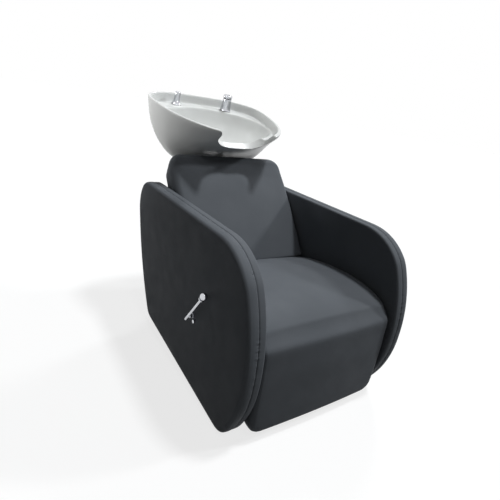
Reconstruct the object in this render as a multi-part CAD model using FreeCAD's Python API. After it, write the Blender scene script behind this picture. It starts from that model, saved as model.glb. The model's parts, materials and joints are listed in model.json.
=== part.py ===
import FreeCAD, Part
import math
import os

V = FreeCAD.Vector

# Driving dimensions, in millimetres. Distances called "back" run from the front of the side panels
# towards the bowl, and heights are above the floor. X points to the sitter's left, Y to the bowl.
WIDTH = 690.0
PANEL_THICK = 60.0
LINING = 2.0
BOARD = 18.0
ORIGIN_BACK = 450.0
ARM_HEIGHT = 627.0

SEAT_HALF = 277.0
SEAT_BOTTOM = 335.0
SKIRT_TOP = 317.0
SEAT_REAR = 618.0

BACK_HALF = 276.0
BACK_FOOT = (573.0, 392.0)
BACK_CORNER = 58.0
BACK_REACH = 420.0
SKIRT_CORNER = 45.0

RIM_FRONT = (670.0, 871.0)
RIM_SLOPE = 0.21
BOWL_HALF = 291.0
BOWL_WIDE_BACK = 1007.0
BOWL_REAR = 1178.0
DECK_DEPTH = 38.0
DECK_THICK = 14.0
TAP_BACK = 1126.0
TAP_SIDE = 130.0
DRAIN_BACK = 972.0
TILT_BACK = 965.0
TILT_HEIGHT = 640.0

LEVER_BACK = 332.0
LEVER_HEIGHT = 303.0
LEVER_STANDOFF = 19.0
LEVER_TAIL = 29.0
BALL_BACK = 245.0
BALL_HEIGHT = 420.0
BALL_R = 12.5

RUNNING_GAP = 0.05
TUBE = 40.0
WALL = 2.0
GLIDE_HEIGHT = 14.0

OUTER = WIDTH / 2
INNER = OUTER - PANEL_THICK
PANEL_CENTRE = (470.0, 320.0)
RIM_TILT = math.degrees(math.atan(RIM_SLOPE))
TAP_AXIS = V(0, -RIM_SLOPE, 1).normalize()

nodes = {}


def at(x, back, height):
    return V(x, back - ORIGIN_BACK, height)


def box(x, back, height):
    low = at(x[0], back[0], height[0])
    return Part.makeBox(x[1] - x[0], back[1] - back[0], height[1] - height[0], low)


def tube(x, back, height, along):
    """Square steel tube, open at both ends along one of its three spans (0, 1 or 2)."""
    spans = [sorted(x), sorted(back), sorted(height)]
    inside = [(low + WALL, high - WALL) for low, high in spans]
    inside[along] = (spans[along][0] - 1, spans[along][1] + 1)
    return box(*spans).cut(box(*inside))


def rod(start, end, radius):
    return Part.makeCylinder(radius, (end - start).Length, start, end - start)


def mirrored(shape):
    return shape.mirror(V(0, 0, 0), V(1, 0, 0))


def pair(shape):
    return Part.makeCompound([shape, mirrored(shape)])


def fused(shapes):
    return shapes[0].multiFuse(shapes[1:]).removeSplitter()


def outline(x, start, steps, move):
    """Closed wire at one X. A step is (end,) for a line, or (via, end) for an arc."""
    edges = []
    last = start
    for step in steps:
        points = [at(x, *move(*point)) for point in (last,) + step]
        if len(points) == 3:
            edges.append(Part.Arc(*points).toShape())
        else:
            edges.append(Part.makeLine(*points))
        last = step[-1]
    return Part.Wire(edges)


def scaled(centre, k):
    return lambda back, height: (centre[0] + (back - centre[0]) * k, centre[1] + (height - centre[1]) * k)


def pad(start, steps, move, stations):
    """Upholstered form: the outline drawn in or swelled at each X station by move(x)."""
    wires = [outline(x, start, steps, move(x)) for x in stations]
    return Part.makeLoft(wires, True, True)


def both_sides(half, shares):
    """X stations at shares of a half width, from the far left to the far right."""
    return [-half * share for share in shares] + [half * share for share in reversed(shares[:-1])]


def corner_drop(x, half, radius):
    """How far a rounded corner falls away at x, on a form of that half width."""
    along = min(max(0.0, abs(x) - half + radius), 0.99 * radius)
    return radius - math.sqrt(radius ** 2 - along ** 2)


def slab(x, start, steps, centre, k):
    """Flat board with the outline scaled by k, between two X values."""
    face = Part.Face(outline(x[0], start, steps, scaled(centre, k)))
    return face.extrude(V(x[1] - x[0], 0, 0))


# Side panels: an upholstered pad round a plywood board, with a leather lining on the inner face.
PANEL_START = (840.0, ARM_HEIGHT)
PANEL_STEPS = [
    ((235.0, ARM_HEIGHT),),
    ((128.0, 599.0), (62.0, 540.0)),
    ((14.0, 408.0), (0.0, 269.0)),
    ((17.0, 140.0), (62.0, 38.0)),
    ((84.0, 14.0), (120.0, 6.0)),
    ((735.0, 55.0),),
    ((763.0, 66.0), (779.0, 88.0)),
    ((873.0, 272.0), (932.0, 470.0)),
    ((933.0, 556.0), (905.0, 605.0)),
    ((876.0, 622.0), PANEL_START),
]
PANEL_ROLL = {INNER: 0.982, INNER + 3: 0.995, INNER + 8: 1.0, OUTER - 18: 1.0, OUTER - 9: 0.996}
PANEL_ROLL.update({OUTER - 3: 0.987, OUTER: 0.974})

bolt_spots = [(180.0, 150.0), (180.0, 225.0), (575.0, 150.0), (575.0, 225.0)]
panel = pad(PANEL_START, PANEL_STEPS, lambda x: scaled(PANEL_CENTRE, PANEL_ROLL[x]), PANEL_ROLL)
panel_board = slab((INNER, INNER + BOARD), PANEL_START, PANEL_STEPS, PANEL_CENTRE, 0.9)
lining = slab((INNER - LINING, INNER), PANEL_START, PANEL_STEPS, PANEL_CENTRE, 0.97)
panel_pad = panel.cut(panel_board)
nodes["left_side_pad"] = panel_pad
nodes["left_side_board"] = panel_board
nodes["left_side_lining"] = lining

BUSH_R = 10.0
SHAFT_R = 7.0
lever_axis = V(1, 0, 0)
bush_hole = rod(at(-OUTER - 1, LEVER_BACK, LEVER_HEIGHT), at(-INNER + 10, LEVER_BACK, LEVER_HEIGHT), BUSH_R)
nodes["right_side_pad"] = mirrored(panel_pad).cut(bush_hole)
nodes["right_side_board"] = mirrored(panel_board).cut(bush_hole)
nodes["right_side_lining"] = mirrored(lining).cut(bush_hole)

# Welded base frame on rubber glides.
RAIL_OUT = 260.0
RAIL_IN = RAIL_OUT - TUBE
FRAME_TOP = GLIDE_HEIGHT + TUBE
DECK_RAIL = (240.0, 262.0)
TAIL_OUT = 120.0
TAIL_BACK = 1060.0
REAR_BAR = 660.0
floor_level = (GLIDE_HEIGHT, FRAME_TOP)
floor_rails = []
deck_rails = []
posts = []
for side in (-1, 1):
    span = (side * RAIL_IN, side * RAIL_OUT)
    post = (side * (RAIL_IN + 5), side * (RAIL_OUT - 5))
    tail = (side * (TAIL_OUT - TUBE), side * TAIL_OUT)
    floor_rails.append(tube(span, (95, REAR_BAR + TUBE), floor_level, 1))
    floor_rails.append(tube(tail, (REAR_BAR + TUBE, TAIL_BACK), floor_level, 1))
    deck_rails.append(tube(span, (95, REAR_BAR), DECK_RAIL, 1))
    for back in (165, 560):
        posts.append(tube(post, (back, back + 30), (FRAME_TOP, DECK_RAIL[0]), 2))
cross_tubes = []
for back in (95, ORIGIN_BACK - TUBE / 2, REAR_BAR):
    cross_tubes.append(tube((-RAIL_IN, RAIL_IN), (back, back + TUBE), floor_level, 0))
for back in (905, TAIL_BACK - TUBE):
    cross_tubes.append(tube((TUBE - TAIL_OUT, TAIL_OUT - TUBE), (back, back + TUBE), floor_level, 0))
cross_tubes.append(tube((-RAIL_IN, RAIL_IN), (620, REAR_BAR), DECK_RAIL, 0))
nodes["floor_rails"] = Part.makeCompound(floor_rails)
nodes["deck_rails"] = Part.makeCompound(deck_rails)
nodes["frame_posts"] = Part.makeCompound(posts)
nodes["cross_tubes"] = Part.makeCompound(cross_tubes)

glide_spots = [(0, ORIGIN_BACK)]
for side in (-1, 1):
    glide_spots += [(side * 240, 125), (side * 240, 675), (side * 100, 1035)]
glides = [rod(at(x, back, 0), at(x, back, GLIDE_HEIGHT), 20) for x, back in glide_spots]
nodes["floor_glides"] = Part.makeCompound(glides)

SPACER_X = (RAIL_OUT - 5, INNER - LINING)
spacers = []
bolts = []
for back, height in bolt_spots:
    reach = at(SPACER_X[0], back, height)
    spacers.append(rod(reach, at(SPACER_X[1], back, height), 11))
    bolts.append(rod(reach, at(INNER + 12, back, height), 4))
nodes["panel_spacers"] = pair(Part.makeCompound([s.cut(b) for s, b in zip(spacers, bolts)]))
for name in ("left_side_board", "left_side_lining"):
    nodes[name] = nodes[name].cut(Part.makeCompound(bolts))
for name in ("right_side_board", "right_side_lining"):
    nodes[name] = nodes[name].cut(mirrored(Part.makeCompound(bolts)))
nodes["panel_bolts"] = pair(Part.makeCompound(bolts))

# Seat slide: fixed channels on the frame, and runners under the seat board.
SLIDE_CENTRE = 240.0
CHANNEL_TOP = 276.0
RUNNER_TOP = 302.0
SLIDE_GAP = 0.4
channel = box((SLIDE_CENTRE - 17, SLIDE_CENTRE + 17), (110, 615), (DECK_RAIL[1], CHANNEL_TOP))
groove = box((SLIDE_CENTRE - 13, SLIDE_CENTRE + 13), (110, 615), (DECK_RAIL[1] + 3, CHANNEL_TOP))
nodes["seat_channels"] = pair(channel.cut(groove))
runner_half = 13 - SLIDE_GAP
runner_width = (SLIDE_CENTRE - runner_half, SLIDE_CENTRE + runner_half)
runner = box(runner_width, (120, 520), (DECK_RAIL[1] + 3.4, RUNNER_TOP))
nodes["seat_runners"] = pair(runner)

SEAT_BOARD = (RUNNER_TOP, 316.0)
nodes["seat_board"] = box((-256, 256), (76, 600), SEAT_BOARD)
nodes["seat_frame_rails"] = pair(box((215, 250), (76, 600), (SEAT_BOARD[1], SEAT_BOTTOM)))
nodes["skirt_board"] = box((-256, 256), (62, 76), (45, SEAT_BOARD[1]))

SEAT_START = (SEAT_REAR, SEAT_BOTTOM)
SEAT_STEPS = [
    ((62.0, SEAT_BOTTOM),),
    ((62.0, SKIRT_TOP + 1),),
    ((26.0, SKIRT_TOP + 1),),
    ((31.0, 354.0), (57.0, 386.0)),
    ((125.0, 413.0), (215.0, 424.5)),
    ((400.0, 409.0), (550.0, 366.0)),
    ((SEAT_REAR, 343.0),),
    (SEAT_START,),
]
SOFT_SHARES = (1.0, 0.985, 0.95, 0.87, 0.7, 0.45, 0.2, 0.0)
SEAT_CROWN = 12.0
NOSE_CROWN = 4.0
CROWN_FROM = 60.0
CROWN_TO = 480.0
SEAT_DROP = 16.0


def seat_move(x):
    """Crown the top across the seat, and draw in its nose and its sides."""
    share = abs(x) / SEAT_HALF
    edge = share ** 14

    def move(back, height):
        rise = max(0.0, height - SEAT_BOTTOM) / (ARM_HEIGHT - SEAT_BOTTOM) * 4
        reach = min(1.0, max(0.0, back - CROWN_FROM) / (CROWN_TO - CROWN_FROM))
        crown = NOSE_CROWN + (SEAT_CROWN - NOSE_CROWN) * reach
        lift = crown * (1 - share ** 2) - SEAT_DROP * edge
        nose = 1 - 0.03 * edge
        return SEAT_REAR - (SEAT_REAR - back) * nose, height + lift * min(1.0, rise)

    return move


nodes["seat_cushion"] = pad(SEAT_START, SEAT_STEPS, seat_move, both_sides(SEAT_HALF, SOFT_SHARES))

SKIRT_START = (62.0, 28.0)
SKIRT_STEPS = [
    ((62.0, SKIRT_TOP),),
    ((25.0, SKIRT_TOP),),
    ((13.0, 225.0), (15.0, 110.0)),
    ((17.0, 52.0),),
    ((21.0, 35.0), (34.0, 28.0)),
    (SKIRT_START,),
]
SKIRT_REAR = SKIRT_START[0]
SKIRT_ROUND_TO = 150.0
CORNER_SHARES = (1.0, 0.99, 0.965, 0.925, 0.88, 0.79, 0.4, 0.0)


def skirt_move(x):
    """Bow the skirt forward in the middle, and round its sides and its lower corners."""
    share = abs(x) / SEAT_HALF
    swell = 1 + 0.18 * (1 - share ** 2) - 0.2 * share ** 24
    lift = corner_drop(x, SEAT_HALF, SKIRT_CORNER) / (SKIRT_ROUND_TO - SKIRT_START[1])

    def move(back, height):
        return SKIRT_REAR - (SKIRT_REAR - back) * swell, height + lift * max(0.0, SKIRT_ROUND_TO - height)

    return move


nodes["seat_skirt"] = pad(SKIRT_START, SKIRT_STEPS, skirt_move, both_sides(SEAT_HALF, CORNER_SHARES))

# Reclined back: cushion on a plywood board, carried by two posts on the frame.
REAR_LOW = (628.0, 392.0)
REAR_HIGH = (861.0, 690.0)
BACK_START = (519.0, 392.0)
BACK_STEPS = [
    ((646.0, 567.0), (792.0, 730.0)),
    ((820.0, 750.0), (850.0, 728.0)),
    (REAR_HIGH,),
    (REAR_LOW,),
    (BACK_START,),
]


def back_move(x):
    """Draw the back in towards its foot at the sides, which rounds its top corners."""
    return scaled(BACK_FOOT, 1 - corner_drop(x, BACK_HALF, BACK_CORNER) / BACK_REACH)


back_dir = V(0, REAR_HIGH[0] - REAR_LOW[0], REAR_HIGH[1] - REAR_LOW[1]).normalize()
back_out = V(0, back_dir.z, -back_dir.y)
back_face = at(0, *REAR_LOW)


def back_block(half, along, depth, x=0.0):
    """Block in the slope of the back: along it from its foot, and behind the cushion."""
    low = back_face + V(x - half, 0, 0) + back_dir * along[0] + back_out * depth[0]
    edge = [low, low + back_dir * (along[1] - along[0])]
    edge += [edge[1] + back_out * (depth[1] - depth[0]), low + back_out * (depth[1] - depth[0])]
    face = Part.Face(Part.makePolygon(edge + [edge[0]]))
    return face.extrude(V(2 * half, 0, 0))


nodes["back_board"] = back_block(240, (6, 360), (0, BOARD))
back_room = back_block(BACK_HALF, (-20, 420), (0, 2 * BOARD))
back_pad = pad(BACK_START, BACK_STEPS, back_move, both_sides(BACK_HALF, CORNER_SHARES))
nodes["back_cushion"] = back_pad.cut(back_room)
POST_X = 180.0
post_foot = box((POST_X - 15, POST_X + 15), (625, 655), (DECK_RAIL[1], 372))
post_slope = back_block(15, (-30, 330), (BOARD, BOARD + 30), POST_X)
nodes["back_posts"] = pair(fused([post_foot, post_slope]))
post_screws = []
for along in (60, 200, 300):
    spot = back_face + V(POST_X, 0, 0) + back_dir * along
    post_screws.append(rod(spot + back_out * 6, spot + back_out * (BOARD + 34), 4))
screws = pair(Part.makeCompound(post_screws))
nodes["back_screws"] = screws
nodes["back_board"] = nodes["back_board"].cut(screws)
nodes["back_posts"] = nodes["back_posts"].cut(screws)

# Rear cover between the panels, on two cleats.
COVER_LOW = (742.0, 72.0)
COVER_HIGH = (872.0, 600.0)
COVER_THICK = 10.0
cover_line = [COVER_LOW, COVER_HIGH]
cover_points = [at(-INNER + 5, *p) for p in cover_line]
cover_points += [at(-INNER + 5, p[0] + COVER_THICK, p[1]) for p in reversed(cover_line)]
cover = Part.Face(Part.makePolygon(cover_points + [cover_points[0]])).extrude(V(2 * INNER - 10, 0, 0))
nodes["rear_cover"] = cover
cleat_points = [at(INNER - 30, back - 22, height) for back, height in cover_line]
cleat_points += [at(INNER - 30, *p) for p in reversed(cover_line)]
cleat = Part.Face(Part.makePolygon(cleat_points + [cleat_points[0]])).extrude(V(28, 0, 0))
nodes["cover_cleats"] = pair(cleat)

# Column that carries the bowl, with a fork for the tilt pins.
FORK_IN = 60.0
FORK_OUT = 70.0
PIN_R = 8.0
COLUMN_TOP = 560.0
column = tube((-FORK_OUT, FORK_OUT), (925, 1005), (FRAME_TOP + 8, COLUMN_TOP - 8), 2)
column_foot = box((-TAIL_OUT, TAIL_OUT), (905, TAIL_BACK), (FRAME_TOP, FRAME_TOP + 8))
column_head = box((-FORK_OUT, FORK_OUT), (925, 1005), (COLUMN_TOP - 8, COLUMN_TOP))
pivot = at(0, TILT_BACK, TILT_HEIGHT)


def ear(x, radius, foot):
    """Upright plate with a round eye at the tilt axis, reaching up or down to a foot height."""
    level = sorted((TILT_HEIGHT, foot))
    plate = box(x, (TILT_BACK - radius, TILT_BACK + radius), level)
    return plate.fuse(rod(pivot + V(x[0], 0, 0), pivot + V(x[1], 0, 0), radius)).removeSplitter()


pin = rod(pivot + V(48, 0, 0), pivot + V(FORK_OUT, 0, 0), PIN_R)
pin_head = rod(pivot + V(FORK_OUT, 0, 0), pivot + V(FORK_OUT + 8, 0, 0), 14)
pins = pair(pin.fuse(pin_head))
nodes["tilt_pins"] = pins
nodes["column_fork"] = pair(ear((FORK_IN, FORK_OUT), 26, COLUMN_TOP)).cut(pins)
nodes["bowl_column"] = fused([column, column_foot, column_head])
foot_bolts = []
for x in (-100, 100):
    for back in (925, 1040):
        shank = rod(at(x, back, FRAME_TOP - WALL - 4), at(x, back, FRAME_TOP + 8), 5)
        head = rod(at(x, back, FRAME_TOP + 8), at(x, back, FRAME_TOP + 15), 9)
        foot_bolts.append(shank.fuse(head))
nodes["column_bolts"] = Part.makeCompound(foot_bolts)
nodes["bowl_column"] = nodes["bowl_column"].cut(nodes["column_bolts"])
nodes["floor_rails"] = nodes["floor_rails"].cut(nodes["column_bolts"])

# Ceramic bowl: outer form, tap deck, basin, neck notch, drain and tap holes.
RING_POINTS = 28


def rim_height(back):
    return RIM_FRONT[1] + RIM_SLOPE * (back - RIM_FRONT[0])


def ring(front, wide, rear, half, depth, rear_square=2.0, front_square=2.0):
    """Egg-shaped closed curve, at a depth below the tilted plane of the rim."""
    points = []
    for i in range(RING_POINTS):
        turn = 2 * math.pi * i / RING_POINTS
        behind = math.sin(turn) > 0
        power = 2 / (rear_square if behind else front_square)
        reach = rear - wide if behind else wide - front
        x = half * math.copysign(abs(math.cos(turn)) ** power, math.cos(turn))
        back = wide + reach * math.copysign(abs(math.sin(turn)) ** power, math.sin(turn))
        points.append(at(x, back, rim_height(back) - depth))
    curve = Part.BSplineCurve()
    curve.interpolate(points, PeriodicFlag=True)
    return Part.Wire([curve.toShape()])


BOWL_BOTTOM = 232.0
outer_rings = [
    ring(628, BOWL_WIDE_BACK, BOWL_REAR, BOWL_HALF, 0, 2.8),
    ring(702, BOWL_WIDE_BACK, BOWL_REAR - 4, 287, 60, 2.8),
    ring(784, 1000, 1158, 276, 112, 2.7, 2.2),
    ring(858, 992, 1124, 256, 160, 2.6, 2.6),
    ring(900, 985, 1084, 222, 204, 2.4, 2.6),
    ring(916, 980, 1052, 180, BOWL_BOTTOM, 2.2, 2.4),
]
recess_rings = [
    ring(650, BOWL_WIDE_BACK, BOWL_REAR - 12, BOWL_HALF - 12, -1, 2.8),
    ring(684, BOWL_WIDE_BACK, BOWL_REAR - 17, BOWL_HALF - 19, DECK_DEPTH, 2.8),
]
basin_rings = [
    ring(722, 940, 1122, 262, DECK_DEPTH - 8),
    ring(742, 940, 1114, 254, DECK_DEPTH + 4),
    ring(812, 945, 1098, 230, 100),
    ring(882, 960, 1068, 188, 152),
    ring(920, 972, 1030, 110, 190, 2.0),
]
bowl = Part.makeLoft(outer_rings, True)
bowl = bowl.cut(Part.makeLoft(recess_rings, True)).cut(Part.makeLoft(basin_rings, True))

NOTCH_HALF = 122.0
NOTCH_DEPTH = 75.0
NOTCH_IN = 780.0
NOTCH_FALL = 0.5
NOTCH_ROUND = 75.0
NOTCH_REACH = 160.0
notch_low = rim_height(NOTCH_IN) - NOTCH_DEPTH
notch_top = notch_low + 250
notch_side = notch_low + NOTCH_ROUND
notch_flat = NOTCH_HALF - NOTCH_ROUND
notch_bend = NOTCH_ROUND * math.sqrt(0.5)


def notch_corner(side):
    """Rounded lower corner of the neck notch, from its side to its floor."""
    points = [
        at(side * NOTCH_HALF, NOTCH_IN, notch_side),
        at(side * (notch_flat + notch_bend), NOTCH_IN, notch_side - notch_bend),
        at(side * notch_flat, NOTCH_IN, notch_low),
    ]
    return Part.Arc(*points).toShape()


notch_edges = [
    Part.makeLine(at(-NOTCH_HALF, NOTCH_IN, notch_top), at(-NOTCH_HALF, NOTCH_IN, notch_side)),
    notch_corner(-1),
    Part.makeLine(at(-notch_flat, NOTCH_IN, notch_low), at(notch_flat, NOTCH_IN, notch_low)),
    notch_corner(1),
    Part.makeLine(at(NOTCH_HALF, NOTCH_IN, notch_side), at(NOTCH_HALF, NOTCH_IN, notch_top)),
    Part.makeLine(at(NOTCH_HALF, NOTCH_IN, notch_top), at(-NOTCH_HALF, NOTCH_IN, notch_top)),
]
notch_face = Part.Face(Part.Wire(notch_edges))
notch_slope = V(0, -NOTCH_REACH, -NOTCH_REACH * NOTCH_FALL)
bowl = bowl.cut(notch_face.extrude(notch_slope)).cut(notch_face.extrude(V(0, 60, 0)))


def deck_point(x, back, depth):
    return at(x, back, rim_height(back) - depth)


def tap_point(side, along):
    """Point on a tap's axis, along it from the face of the deck."""
    return deck_point(side * TAP_SIDE, TAP_BACK, DECK_DEPTH) + TAP_AXIS * along


SHANK_R = 14.0
NUT_ROOM_R = 25.0
for side in (-1, 1):
    bowl = bowl.cut(rod(tap_point(side, 40), tap_point(side, -60), SHANK_R))
    bowl = bowl.cut(rod(tap_point(side, -DECK_THICK), tap_point(side, -240), NUT_ROOM_R))


def drain_point(along):
    """Point on the drain's axis, along it from the bowl's underside."""
    return deck_point(0, DRAIN_BACK, BOWL_BOTTOM) + TAP_AXIS * along


DRAIN_R = 22.0
bowl = bowl.cut(rod(drain_point(-5), drain_point(80), DRAIN_R))
nodes["bowl"] = bowl

# Tilting cradle under the bowl.
CRADLE_THICK = 8.0
EAR_IN = 50.0
EAR_OUT = FORK_IN - 1
plate_centre = drain_point(-CRADLE_THICK)
plate = Part.makeBox(200, 100, CRADLE_THICK, V(-100, -50, 0))
plate.rotate(V(0, 0, 0), V(1, 0, 0), RIM_TILT)
plate.translate(plate_centre)
plate = plate.cut(rod(drain_point(-40), drain_point(40), 27))
below = Part.makeBox(400, 400, 200, V(-200, -200, -200))
below.rotate(V(0, 0, 0), V(1, 0, 0), RIM_TILT)
below.translate(plate_centre)
ears = pair(ear((EAR_IN, EAR_OUT), 22, plate_centre.z + 20)).common(below)
nodes["cradle_ears"] = ears.cut(rod(pivot + V(-90, 0, 0), pivot + V(90, 0, 0), PIN_R + RUNNING_GAP))
cradle_bolts = []
for x in (-82, 82):
    for back in (-34, 34):
        spot = drain_point(0) + V(x, back, back * RIM_SLOPE)
        shank = rod(spot - TAP_AXIS * CRADLE_THICK, spot + TAP_AXIS * 14, 4)
        head = rod(spot - TAP_AXIS * (CRADLE_THICK + 6), spot - TAP_AXIS * CRADLE_THICK, 8)
        cradle_bolts.append(shank.fuse(head))
cradle_bolts = Part.makeCompound(cradle_bolts)
nodes["cradle_bolts"] = cradle_bolts
nodes["bowl_cradle"] = plate.cut(cradle_bolts)
nodes["bowl"] = nodes["bowl"].cut(cradle_bolts)

# Waste: strainer, body, seal, nut and tail.
FLOOR_THICK = BOWL_BOTTOM - 190.0
strainer = rod(drain_point(FLOOR_THICK), drain_point(FLOOR_THICK + 4), 34)
for i in range(6):
    turn = math.pi * i / 3
    aside = 12 * math.sin(turn)
    spot = drain_point(FLOOR_THICK - 2) + V(12 * math.cos(turn), aside, aside * RIM_SLOPE)
    strainer = strainer.cut(rod(spot, spot + TAP_AXIS * 12, 4))
nodes["drain_strainer"] = strainer
TAIL_R = 20.0
TAIL_LENGTH = 40.0
tail_end = -18 - TAIL_LENGTH
waste = rod(drain_point(-18), drain_point(FLOOR_THICK), DRAIN_R)
waste = waste.fuse(rod(drain_point(tail_end), drain_point(-18), TAIL_R)).removeSplitter()
nodes["drain_waste"] = waste.cut(rod(drain_point(tail_end - 1), drain_point(FLOOR_THICK + 1), 17))
collar_bore = rod(drain_point(-35), drain_point(FLOOR_THICK), DRAIN_R)
nodes["drain_seal"] = rod(drain_point(-4), drain_point(0), 26).cut(collar_bore)
nodes["drain_nut"] = rod(drain_point(-18), drain_point(-4), 26).cut(collar_bore)

# Mixer tap on the sitter's left: gasket, base ring, body, turning cap and fixing nut.
MIXER_FOOT_R = 26.0
MIXER_LOW_R = 24.0
MIXER_BODY_R = 21.0
MIXER_HEIGHT = 76.0
FOOT_AT = 7.0
CAP_AT = 60.0
gasket = rod(tap_point(1, 0), tap_point(1, 2), MIXER_FOOT_R)
nodes["mixer_gasket"] = gasket.cut(rod(tap_point(1, -1), tap_point(1, 3), SHANK_R - 2))
base_ring = rod(tap_point(1, 2), tap_point(1, FOOT_AT), MIXER_FOOT_R)
body = Part.makeCone(MIXER_LOW_R, MIXER_BODY_R, CAP_AT - FOOT_AT, tap_point(1, FOOT_AT), TAP_AXIS)
body = body.fuse(base_ring).fuse(rod(tap_point(1, 2), tap_point(1, -34), SHANK_R - 2)).removeSplitter()
spindle = rod(tap_point(1, CAP_AT - 20), tap_point(1, CAP_AT + 12), 6)
nodes["mixer_body"] = body.cut(rod(tap_point(1, CAP_AT - 20), tap_point(1, CAP_AT + 1), 6 + RUNNING_GAP))
cap = rod(tap_point(1, CAP_AT + 0.5), tap_point(1, MIXER_HEIGHT), MIXER_BODY_R + 1)
cap_rim = max(cap.Edges, key=lambda edge: edge.CenterOfMass.z)
cap = cap.makeFillet(5, [cap_rim])
nodes["mixer_cap"] = cap.cut(spindle)
nodes["mixer_spindle"] = spindle
nodes["mixer_nut"] = rod(tap_point(1, -DECK_THICK - 10), tap_point(1, -DECK_THICK), 21).cut(
    rod(tap_point(1, -40), tap_point(1, 0), SHANK_R - 2)
)

# Hand shower on the sitter's right: holder, fixing nut and the handset that lifts out.
HOLDER_R = 22.0
HOLDER_TOP_R = 16.0
HOLDER_HEIGHT = 15.0
CONE_LOW = 15.0
CONE_HIGH = 13.0
SHOWER_HEIGHT = 57.0
holder = Part.makeCone(HOLDER_R, HOLDER_TOP_R, HOLDER_HEIGHT, tap_point(-1, 0), TAP_AXIS)
holder = holder.fuse(rod(tap_point(-1, -34), tap_point(-1, 0), SHANK_R - 2)).removeSplitter()
nodes["shower_holder"] = holder.cut(rod(tap_point(-1, -34), tap_point(-1, HOLDER_HEIGHT + 1), 9.4))
nodes["shower_nut"] = rod(tap_point(-1, -DECK_THICK - 10), tap_point(-1, -DECK_THICK), 21).cut(
    rod(tap_point(-1, -40), tap_point(-1, 0), SHANK_R - 2)
)
handset_foot = HOLDER_HEIGHT + 0.5
handset_tall = SHOWER_HEIGHT - handset_foot
handset = Part.makeCone(CONE_LOW, CONE_HIGH, handset_tall, tap_point(-1, handset_foot), TAP_AXIS)
handset_rim = max(handset.Edges, key=lambda edge: edge.CenterOfMass.z)
handset = handset.makeFillet(4, [handset_rim])
handset_stem = rod(tap_point(-1, -20), tap_point(-1, handset_foot + 1), 9)
nodes["hand_shower"] = handset.fuse(handset_stem).removeSplitter()

# Side lever: shaft through the right panel, crank rod with a ball, and a cam over the seat's brake bar.
CAM_R = 12.0
CAM_THROW = 3.0
STOP_R = 6.0
FLANGE_R = 11.5
FLANGE_THICK = 7.0
ROD_R = 4.8
lever_hub = at(-OUTER, LEVER_BACK, LEVER_HEIGHT)
shaft_in = at(-INNER + 24, LEVER_BACK, LEVER_HEIGHT)
arm_x = -OUTER - LEVER_STANDOFF
arm_root = at(arm_x, LEVER_BACK, LEVER_HEIGHT)
ball = at(arm_x, BALL_BACK, BALL_HEIGHT)
arm_dir = (ball - arm_root).normalize()
sleeve = rod(lever_hub, at(-INNER + 4, LEVER_BACK, LEVER_HEIGHT), BUSH_R)
flange = rod(lever_hub + V(-FLANGE_THICK, 0, 0), lever_hub, FLANGE_R)
bush_bore = rod(lever_hub + V(-8, 0, 0), at(-INNER + 5, LEVER_BACK, LEVER_HEIGHT), SHAFT_R + RUNNING_GAP)
nodes["lever_bush"] = sleeve.fuse(flange).removeSplitter().cut(bush_bore)
peg_spot = lever_hub + V(0, -20, -13)
nodes["lever_stop"] = rod(peg_spot + V(-11, 0, 0), peg_spot + V(12, 0, 0), STOP_R)
nodes["right_side_pad"] = nodes["right_side_pad"].cut(nodes["lever_stop"])
nodes["lever_shaft"] = rod(arm_root, shaft_in, SHAFT_R)
crank = rod(arm_root - arm_dir * LEVER_TAIL, ball - arm_dir * 10, ROD_R)
hub = rod(arm_root + V(3, 0, 0), arm_root + V(LEVER_STANDOFF - FLANGE_THICK - 0.5, 0, 0), 9)
nodes["lever_hub"] = hub.cut(nodes["lever_shaft"]).cut(crank)
nodes["lever_rod"] = crank.cut(nodes["lever_shaft"])
nodes["lever_collar"] = rod(ball - arm_dir * 19, ball - arm_dir * 14, 10).cut(crank)
nodes["lever_ball"] = Part.makeSphere(BALL_R, ball).cut(rod(ball - arm_dir * 20, ball - arm_dir * 10, 20))
cam_x = (-INNER + 10, -INNER + 22)
cam_centre = V(cam_x[0], lever_hub.y, lever_hub.z - CAM_THROW)
cam = Part.makeCylinder(CAM_R, cam_x[1] - cam_x[0], cam_centre, lever_axis)
nodes["lever_cam"] = cam.cut(nodes["lever_shaft"])
bar_top = LEVER_HEIGHT - CAM_THROW - CAM_R - 0.6
bar = box((cam_x[0], -SLIDE_CENTRE - 13 + SLIDE_GAP), (140, 500), (CHANNEL_TOP + 1, bar_top))
nodes["brake_bar"] = bar

os.makedirs("parts", exist_ok=True)
for name, shape in nodes.items():
    shape.exportStep("parts/" + name + ".step")
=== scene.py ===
import json
import math

import bmesh
import bpy
from mathutils import Matrix, Vector, noise


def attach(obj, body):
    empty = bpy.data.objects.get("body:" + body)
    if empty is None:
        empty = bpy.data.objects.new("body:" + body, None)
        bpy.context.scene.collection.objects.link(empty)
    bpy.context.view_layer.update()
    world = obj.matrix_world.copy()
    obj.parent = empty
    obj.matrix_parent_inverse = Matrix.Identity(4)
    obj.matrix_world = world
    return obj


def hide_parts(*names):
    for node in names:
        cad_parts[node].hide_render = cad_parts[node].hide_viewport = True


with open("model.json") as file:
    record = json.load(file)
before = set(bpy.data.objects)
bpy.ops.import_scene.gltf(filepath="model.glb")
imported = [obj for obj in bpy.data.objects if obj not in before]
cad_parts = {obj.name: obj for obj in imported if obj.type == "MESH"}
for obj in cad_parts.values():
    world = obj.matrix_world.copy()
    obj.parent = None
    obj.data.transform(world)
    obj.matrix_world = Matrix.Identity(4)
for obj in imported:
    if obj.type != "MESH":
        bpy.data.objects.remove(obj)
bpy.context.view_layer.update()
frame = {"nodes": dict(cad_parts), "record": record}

# Dimensions, in millimetres. "Back" runs from the front of the side panels towards the bowl.
MM = 0.001
ORIGIN_BACK = 450.0
OUTER = 345.0
LINING_FACE = 283.0
PANEL_CENTRE = (470.0, 320.0)
PANEL_START = (840.0, 627.0)
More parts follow.
